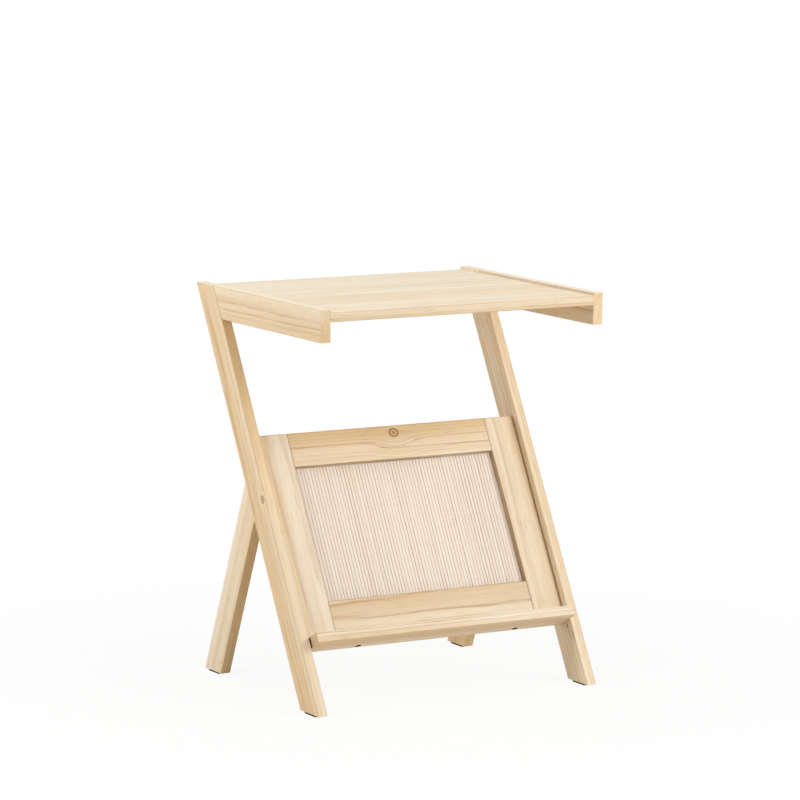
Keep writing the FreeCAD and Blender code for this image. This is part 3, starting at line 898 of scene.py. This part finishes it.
zinc_nodes = ("ledge_screws", "rear_leg_screws", "rack_cam_locks", "rack_cam_bolts", "table_top_cam_locks",
              "table_top_cam_bolts")
beech_nodes = ("top_rail_dowels", "rack_frame_dowels", "rack_leg_dowels", "table_top_dowels")
for finish, nodes in ((zinc_finish(), zinc_nodes), (beech_finish(), beech_nodes)):
    for node in nodes:
        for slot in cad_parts[node].material_slots:
            slot.material = finish

# Floor: a plain pale studio floor, flat and matt, that runs five metres out from the table each way.
# The camera sees it as nearly white, with a little of the table's shadow close to the feet.
floor_half = 5.0
floor_colour = (0.84, 0.79, 0.72, 1.0)
floor_roughness = 0.9
white = (1.0, 1.0, 1.0, 1.0)
white_near = 0.92
shadow_start = 0.25
shadow_end = 1.1


def sees_white(start):
    """1 for what the camera sees, straight on or by gloss or through glass, and 0 for other rays."""
    rays = start.node("LightPath", {}, {}).socket.node.outputs
    seen = Wire(start.tree, rays["Is Camera Ray"])
    for kind in ("Is Glossy Ray", "Is Transmission Ray"):
        seen = seen.math("MAXIMUM", seen, Wire(start.tree, rays[kind]))
    return seen


floor_work = bmesh.new()
bmesh.ops.create_grid(floor_work, x_segments=1, y_segments=1, size=floor_half)
floor = bpy.data.objects.new("studio_floor", as_mesh("studio_floor_mesh", floor_work))
bpy.context.scene.collection.objects.link(floor)
floor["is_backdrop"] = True
floor_material, floor_shader, floor_place = new_finish("studio_floor_white")
floor_shader.inputs["Base Color"].default_value = floor_colour
floor_shader.inputs["Roughness"].default_value = floor_roughness
floor_tree = floor_place.tree
far = floor_place.length().rise(shadow_start, shadow_end)
whiteness = sees_white(floor_place) * (far * (1.0 - white_near) + white_near)
floor_bare = Wire(floor_tree, floor_shader.outputs[0])
floor_white = floor_place.node("Emission", {}, {"Color": white, "Strength": 1.0})
floor_mix = floor_place.node("MixShader", {}, {0: whiteness, 1: floor_bare, 2: floor_white})
floor_tree.links.new(floor_mix.socket, floor_tree.nodes["Material Output"].inputs["Surface"])
floor.data.materials.append(floor_material)

# Studio light: five large square soft boxes, four of them round the table and one above it.
# The room adds a little warm, even light of its own, and is white behind the table.
room_warmth = (1.0, 0.92, 0.8, 1.0)
room_strength = 0.05
room = bpy.data.worlds.new("studio_room")
bpy.context.scene.world = room
room.use_nodes = True
room_tree = room.node_tree
room_start = Wire(room_tree)
room_light = room_start.node("Background", {}, {"Color": room_warmth, "Strength": room_strength})
room_white = room_start.node("Background", {}, {"Color": white, "Strength": 1.0})
room_mix = room_start.node("MixShader", {}, {0: sees_white(room_start), 1: room_light, 2: room_white})
room_tree.links.new(room_mix.socket, room_tree.nodes["World Output"].inputs["Surface"])

table_middle = Vector((0, 0, leg_high.z / 2))
light_reach = 3.0
soft_box_size = 1.5
soft_boxes = (
    ("front_soft_box", 0, 22, 23.0),
    ("right_front_soft_box", 45, 32, 48.0),
    ("left_soft_box", -90, 35, 37.0),
    ("left_back_soft_box", -135, 24, 30.0),
    ("top_soft_box", 0, 90, 21.0),
)
for name, turn, rise, watts in soft_boxes:
    lamp = bpy.data.lights.new(name, "AREA")
    lamp.shape = "SQUARE"
    lamp.size = soft_box_size
    lamp.energy = watts
    holder = bpy.data.objects.new(name, lamp)
    aim = Matrix.Rotation(math.radians(turn), 3, "Z") @ Matrix.Rotation(math.radians(-rise), 3, "X") @ -Y_AXIS
    spot = table_middle + aim * light_reach
    holder.location = spot
    holder.rotation_euler = (table_middle - spot).to_track_quat("-Z", "Y").to_euler()
    bpy.context.scene.collection.objects.link(holder)

# Camera: a long lens well back, to the left of the front and higher than the table.
# It looks slightly down, and is rolled by half a degree.
camera_place = Vector((-2.93205, -5.00114, 1.25329))
camera_turn = math.radians(-30.422)
camera_dip = math.radians(8.375)
camera_roll = math.radians(0.515)
lens_length = 187.157
sensor_width = 36.0
camera_data = bpy.data.cameras.new("studio_camera")
camera_data.sensor_width = sensor_width
camera_data.lens = lens_length
camera = bpy.data.objects.new("studio_camera", camera_data)
camera.location = camera_place
level_view = Matrix.Rotation(camera_turn, 3, "Z") @ Matrix.Rotation(math.pi / 2 - camera_dip, 3, "X")
camera.rotation_euler = (level_view @ Matrix.Rotation(camera_roll, 3, "Z")).to_euler()
bpy.context.scene.collection.objects.link(camera)
bpy.context.scene.camera = camera
bpy.context.scene.view_settings.view_transform = "Standard"

low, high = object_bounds()
